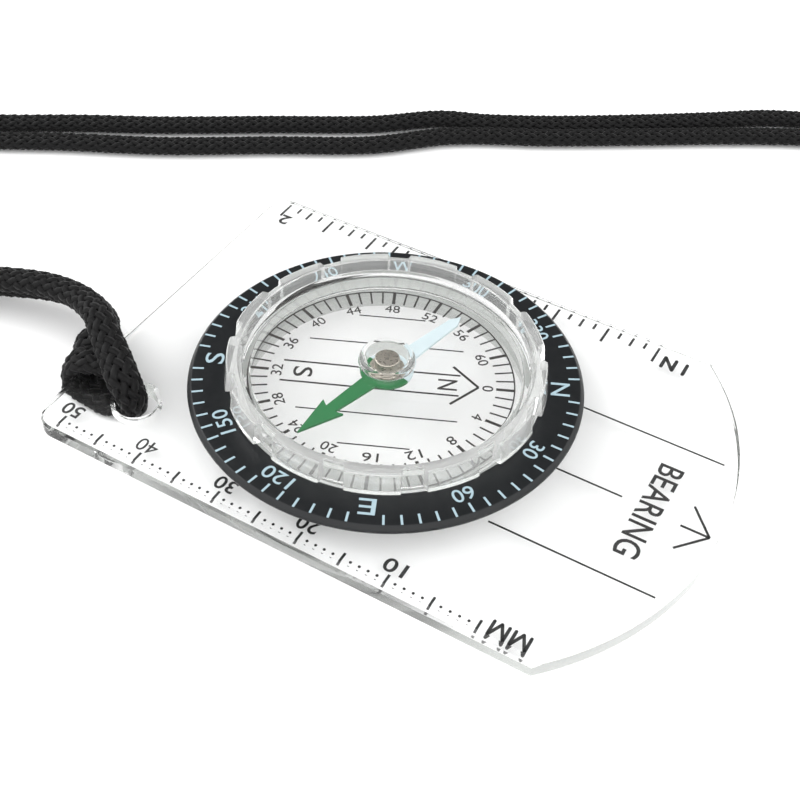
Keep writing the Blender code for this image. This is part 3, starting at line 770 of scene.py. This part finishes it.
def print_inches():
    scale = Print(UNDER_PLATE)
    for mark in range(33):
        x = SCALE_ZERO_INCH - INCH * mark / 16
        inner = INCH_MARKS_INNER[0 if mark % 4 == 0 else 1 if mark % 2 == 0 else 2]
        scale.stroke((x, inner), (x, INCH_MARKS_OUTER), 0.3)
    low, high = -LETTER_HALF, LETTER_HALF
    scale.letter([[(-0.65, low), (-0.65, high), (0.65, low), (0.65, high)]], (20.35, 21.4),
                 TURNED_ROUND, 0.42)
    scale.letter([[(0.0, low), (0.0, high)]], (22.3, 21.4), TURNED_ROUND, 0.42)
    scale.text("2", (-31.4, 20.3), 1.8, TURNED_ROUND, 1.3, 0.02)
    return scale.piece("scale_inches", plate_ink, "plate")


def print_bearing():
    lines = Print(UNDER_PLATE)
    for y, begin, end in ((9.9, 13.2, 31.1), (0.2, 14.7, 23.5), (-9.87, 13.2, 31.15)):
        lines.stroke((begin, y), (end, y), 0.22)
    tip = (33.1, -0.2)
    for start in ((30.4, 2.9), (30.4, -3.3), (30.0, -0.2)):
        lines.stroke(start, tip, 0.28)
    lines.text("BEARING", (26.55, 0.0), 2.7, -pi / 2, 13.5, 0.006)
    return lines.piece("bearing_legend", plate_ink, "plate")


print_millimetres()
print_inches()
print_bearing()


# ---------------------------------------------------------------- azimuth ring

LETTER_WIDTHS = {"N": 1.95, "E": 1.75, "S": 1.65, "W": 2.5}


def make_ring():
    low, high = RING_LOW.z, RING_HIGH.z
    outer = (RING_HIGH.x - RING_LOW.x) / 2
    shoulder = high - RING_CHAMFER_DROP
    profile = [(RING_FACE_RADIUS, high), (outer, shoulder), (outer, shoulder - 0.3), (RING_FOOT_RADIUS, low),
               (CAPSULE_HOLE_RADIUS, low), (CAPSULE_HOLE_RADIUS, high)]
    add("azimuth_ring_moulded", turned("azimuth_ring_moulded", profile, 256), ring_plastic, "capsule",
        "azimuth_ring")
    marks = Print(high + 0.005)
    letters = {0: "N", 90: "E", 180: "S", 270: "W"}
    for azimuth in range(0, 360, 5):
        angle = NORTH - radians(azimuth)
        if azimuth not in letters:
            marks.stroke(polar(19.7, angle), polar(20.9, angle), 0.24)
        if azimuth in letters:
            name = letters[azimuth]
            marks.text(name, polar(18.75, angle), 2.05, angle - pi / 2, LETTER_WIDTHS[name], 0.004)
        elif azimuth % 30 == 0:
            label = str(azimuth)
            marks.text(label, polar(18.5, angle), 1.65, angle - pi / 2, 1.15 * len(label), 0.004)
    marks.piece("azimuth_marks", ring_ink, "capsule")


make_ring()


# ---------------------------------------------------------------- grip bezel

def make_grip():
    """Skirt, ledge and castellated rim: one profile whose outer side steps in at each notch."""
    low, high = GRIP_LOW.z, GRIP_HIGH.z
    seat = RING_HIGH.z + GRIP_SEAT_GAP
    ledge = low + GRIP_LEDGE_HEIGHT
    soft = 0.14
    pitch = FULL_TURN / GRIP_BLOCKS
    work = bmesh.new()
    columns = []
    half = GRIP_BLOCK_ANGLE / 2
    offsets = [half * k / 6 for k in range(-6, 7)]
    offsets += [half + GRIP_FLANK_ANGLE * k / 3 for k in range(1, 4)]
    rest = pitch - 2 * half - 2 * GRIP_FLANK_ANGLE
    offsets += [half + GRIP_FLANK_ANGLE + rest * k / 5 for k in range(1, 5)]
    offsets += [pitch - half - GRIP_FLANK_ANGLE * (3 - k) / 3 for k in range(0, 3)]
    for block in range(GRIP_BLOCKS):
        for offset in offsets:
            away = min(abs(offset), abs(offset - pitch)) - half
            share = 1 - min(1.0, max(0.0, away / GRIP_FLANK_ANGLE))
            share = share * share * (3 - 2 * share)
            foot = GRIP_NOTCH_RADIUS + (GRIP_FOOT_RADIUS - GRIP_NOTCH_RADIUS) * share
            head = GRIP_NOTCH_RADIUS + (GRIP_HEAD_RADIUS - GRIP_NOTCH_RADIUS) * share
            profile = [(GRIP_LEDGE_RADIUS, low), (GRIP_SKIRT_RADIUS, low), (GRIP_SKIRT_RADIUS, seat - 0.05),
                       (foot, seat), (foot, seat + 0.12), (head + 0.02, high - soft), (head - soft, high),
                       (GRIP_BORE_RADIUS + soft, high), (GRIP_BORE_RADIUS, high - soft),
                       (GRIP_BORE_RADIUS, ledge), (GRIP_LEDGE_RADIUS, ledge)]
            angle = GRIP_FIRST_BLOCK + block * pitch + offset
            columns.append([work.verts.new((*polar(r, angle), z)) for r, z in profile])
    for k, first in enumerate(columns):
        second = columns[(k + 1) % len(columns)]
        for i in range(len(first)):
            j = (i + 1) % len(first)
            work.faces.new([first[i], second[i], second[j], first[j]])
    add("grip_bezel_clear", finish_mesh(work, "grip_bezel_clear", 30.0), grip_plastic, "capsule",
        "grip_bezel")


make_grip()


# ---------------------------------------------------------------- capsule

def make_capsule():
    wall = (COVER_HIGH.x - COVER_LOW.x) / 2
    bottom, boss_top = COVER_LOW.z, COVER_HIGH.z
    window = WINDOW_TOP - WINDOW_THICKNESS
    cover = [(0.0, boss_top), (BOSS_RADIUS - 0.35, boss_top), (BOSS_RADIUS, boss_top - 0.4),
             (BOSS_RADIUS, WINDOW_TOP), (wall, WINDOW_TOP), (wall, bottom), (CHAMBER_RADIUS, bottom),
             (CHAMBER_RADIUS, window), (BOSS_POCKET_RADIUS, window), (BOSS_POCKET_RADIUS, BOSS_POCKET_TOP),
             (0.0, BOSS_POCKET_TOP)]
    add("capsule_window", turned("capsule_window", cover, 256, 0.2), capsule_plastic, "capsule",
        "capsule_cover")
    floor_top = DIAL_HIGH.z - PIN_BOSS_HEIGHT
    boss = DIAL_HIGH.z
    socket = boss - PIN_SOCKET_DEPTH
    dial = [(0.0, socket), (PIN_SOCKET_RADIUS, socket), (PIN_SOCKET_RADIUS, boss), (PIN_BOSS_RADIUS, boss),
            (PIN_BOSS_RADIUS, floor_top), (wall, floor_top), (wall, DIAL_LOW.z), (0.0, DIAL_LOW.z)]
    add("dial_floor", turned("dial_floor", dial, 256, 0.08), capsule_plastic, "capsule", "capsule_base")
    retainer_outer = (RETAINER_HIGH.x - RETAINER_LOW.x) / 2
    retainer = [(RETAINER_INNER_RADIUS, RETAINER_HIGH.z), (retainer_outer, RETAINER_HIGH.z),
                (retainer_outer, 0.0), (RETAINER_INNER_RADIUS, 0.0)]
    add("retaining_ring_clear", turned("retaining_ring_clear", retainer, 192, 0.1), grip_plastic, "capsule",
        "retaining_ring")
    return floor_top


def print_dial(floor_top):
    marks = Print(floor_top + 0.005)
    middle = DIAL_PRINT_CENTRE
    marks.circle(middle, DIAL_CIRCLE_RADIUS, 0.16)
    for k in range(DIAL_DIVISIONS):
        angle = NORTH - FULL_TURN * k / DIAL_DIVISIONS
        heavy = k % 4 == 0
        marks.stroke(polar(DIAL_CIRCLE_RADIUS, angle, middle), polar(12.35, angle, middle),
                     0.36 if heavy else 0.2)
        if heavy:
            label = str(k)
            marks.text(label, polar(11.45, angle, middle), 1.2, angle - pi / 2, 0.85 * len(label), 0.004)
    ahead = Vector((cos(NORTH), sin(NORTH)))
    left = Vector((-sin(NORTH), cos(NORTH)))

    def spot(u, v):
        return AXIS.xy + ahead * u + left * v

    for side in (-1, 1):
        for v, back, front, width in ((1.55, -11.4, 7.9, 0.22), (5.4, -9.1, 8.0, 0.16),
                                      (9.9, -4.1, 3.4, 0.16)):
            marks.stroke(spot(back, side * v), spot(front, side * v), width)
        marks.stroke(spot(7.05, side * 2.87), spot(9.96, 0.0), 0.28)
    marks.text("N", spot(6.6, 0.0), 2.1, NORTH - pi / 2, 1.6, 0.004)
    marks.text("S", spot(-9.1, 0.0), 2.1, NORTH - pi / 2, 1.5, 0.004)
    marks.piece("dial_marks", dial_ink, "capsule")


print_dial(make_capsule())


# ---------------------------------------------------------------- needle

def make_needle():
    top = CAP_HIGH.z
    brim = (CAP_HIGH.x - CAP_LOW.x) / 2
    step = CAP_LOW.z + CAP_BRIM_THICKNESS
    cap = [(0.0, top), (CAP_CROWN_RADIUS, top), (CAP_CROWN_RADIUS - 0.04, step), (brim, step),
           (brim, CAP_LOW.z), (CAP_BORE_RADIUS, CAP_LOW.z), (CAP_BORE_RADIUS, CAP_BORE_TOP),
           (0.0, CAP_BORE_TOP)]
    add("needle_cap_turned", turned("needle_cap_turned", cap, 96, 0.12, 40.0), cap_metal, "needle",
        "needle_cap")
    for node, material in (("needle", needle_coat), ("pivot_pin", pin_metal), ("jewel_cup", jewel_red)):
        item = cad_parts[node]
        for slot in item.material_slots:
            slot.material = material


make_needle()


# ---------------------------------------------------------------- table and light

FLOOR_SIZE = 6.0                    # metres
FLOOR_WHITE = 0.90
SKY_LIGHT = 2.1
HORIZON_LIGHT = 0.9
PATCH_SHARE = 0.12                  # what is left of the light in the darker patch of wall
KEY_PLACE = (-0.46, 0.02, 0.44)
KEY_SIZE = 0.34
KEY_POWER = 1.0


def make_table():
    work = bmesh.new()
    bmesh.ops.create_grid(work, x_segments=1, y_segments=1, size=FLOOR_SIZE / 2)
    mesh = bpy.data.meshes.new("table")
    work.to_mesh(mesh)
    work.free()
    n = Nodes("table_white")
    n.put(Roughness=0.9, Specular_IOR_Level=0.0, Base_Color=(FLOOR_WHITE, FLOOR_WHITE, FLOOR_WHITE, 1.0))
    mesh.materials.append(n.material)
    table = bpy.data.objects.new("table", mesh)
    bpy.context.scene.collection.objects.link(table)


def make_light():
    """White room, darker low down and in the patch of wall that the flat faces mirror to the camera."""
    world = bpy.data.worlds.new("studio")
    bpy.context.scene.world = world
    world.use_nodes = True
    tree = world.node_tree
    back = tree.nodes["Background"]
    back.inputs["Color"].default_value = (1.0, 1.0, 1.0, 1.0)
    where = tree.nodes.new("ShaderNodeTexCoord")
    parts = tree.nodes.new("ShaderNodeSeparateXYZ")
    tree.links.new(where.outputs["Generated"], parts.inputs[0])
    level = None
    forward = Vector(CAMERA_FORWARD)
    mirrored = Vector((forward.x, forward.y, -forward.z)).normalized()
    for facing, start, end, low, high in ((None, 0.0, 0.35, HORIZON_LIGHT, SKY_LIGHT),
                                          (mirrored, 0.62, 0.90, 1.0, PATCH_SHARE)):
        if facing is None:
            source = parts.outputs["Z"]
        else:
            dot = tree.nodes.new("ShaderNodeVectorMath")
            dot.operation = "DOT_PRODUCT"
            dot.inputs[1].default_value = facing
            tree.links.new(where.outputs["Generated"], dot.inputs[0])
            source = dot.outputs["Value"]
        ramp = tree.nodes.new("ShaderNodeMapRange")
        ramp.interpolation_type = "SMOOTHSTEP"
        for name, value in (("From Min", start), ("From Max", end), ("To Min", low), ("To Max", high)):
            ramp.inputs[name].default_value = value
        tree.links.new(source, ramp.inputs["Value"])
        if level is None:
            level = ramp.outputs["Result"]
        else:
            times = tree.nodes.new("ShaderNodeMath")
            times.operation = "MULTIPLY"
            tree.links.new(level, times.inputs[0])
            tree.links.new(ramp.outputs["Result"], times.inputs[1])
            level = times.outputs[0]
    tree.links.new(level, back.inputs["Strength"])
    data = bpy.data.lights.new("key", "AREA")
    data.shape = "DISK"
    data.size = KEY_SIZE
    data.energy = KEY_POWER
    key = bpy.data.objects.new("key", data)
    key.location = KEY_PLACE
    key.rotation_euler = (Vector((0.0, 0.0, 0.0)) - Vector(KEY_PLACE)).to_track_quat("-Z", "Y").to_euler()
    bpy.context.scene.collection.objects.link(key)


make_table()
make_light()
bpy.context.scene.view_settings.view_transform = "Standard"
